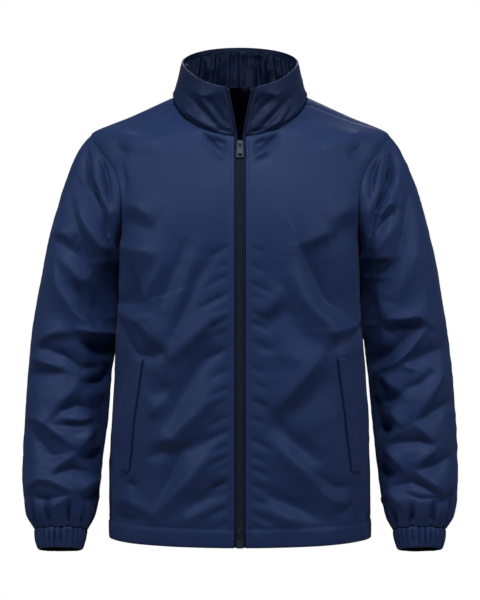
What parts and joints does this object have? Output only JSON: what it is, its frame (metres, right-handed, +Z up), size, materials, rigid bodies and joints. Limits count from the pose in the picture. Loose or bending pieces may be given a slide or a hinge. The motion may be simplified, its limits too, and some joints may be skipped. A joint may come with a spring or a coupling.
{
  "type": "hip-length windbreaker jacket with a stand collar and a front zip, filled out with no wearer",
  "caption": "Thin zip-front windbreaker with a stand collar, welt pockets and elastic cuffs, standing open and empty as if worn.",
  "frame": {"origin": "middle of the neck at the level of the side neck points, where the shoulders hold the jacket up", "axes": "+Z up, -Y towards the front, +X to the right as seen from the front"},
  "size_m": [0.6798, 0.2766, 0.8034],
  "materials": {
    "shell_cloth": "thin plain-woven nylon with a soft sheen, navy",
    "collar_lining_cloth": "thin smooth lining, dark navy",
    "tape": "woven tape, dark navy",
    "zip_coil": "nylon zip coil, dark navy",
    "zip_metal": "satin gunmetal paint"
  },
  "bodies": {
    "jacket": {"front_left": "shell_cloth", "front_right": "shell_cloth", "back": "shell_cloth", "pocket_welt_left": "shell_cloth", "pocket_welt_right": "shell_cloth", "sleeve_left_upper": "shell_cloth", "sleeve_left_lower": "shell_cloth", "cuff_left": "shell_cloth", "sleeve_right_upper": "shell_cloth", "sleeve_right_lower": "shell_cloth", "cuff_right": "shell_cloth", "collar_outer": "shell_cloth", "collar_lining": "collar_lining_cloth", "neck_tape": "tape", "zip_tape_left": "tape", "zip_coil_left": "zip_coil", "zip_tape_right": "tape", "zip_coil_right": "zip_coil", "zip_chain": "zip_coil", "zip_slider": "zip_metal", "zip_box": "zip_metal", "zip_stop_left": "zip_metal", "zip_stop_right": "zip_metal"},
    "pull_tab": {"zip_pull": "zip_metal"}
  },
  "joints": [
    {"name": "pull_tab_swing", "type": "hinge", "parent": "jacket", "child": "pull_tab", "pos_m": [0, -0.0943, -0.08111], "axis": [-1, 0, 0], "range_deg": [0, 150]}
  ]
}
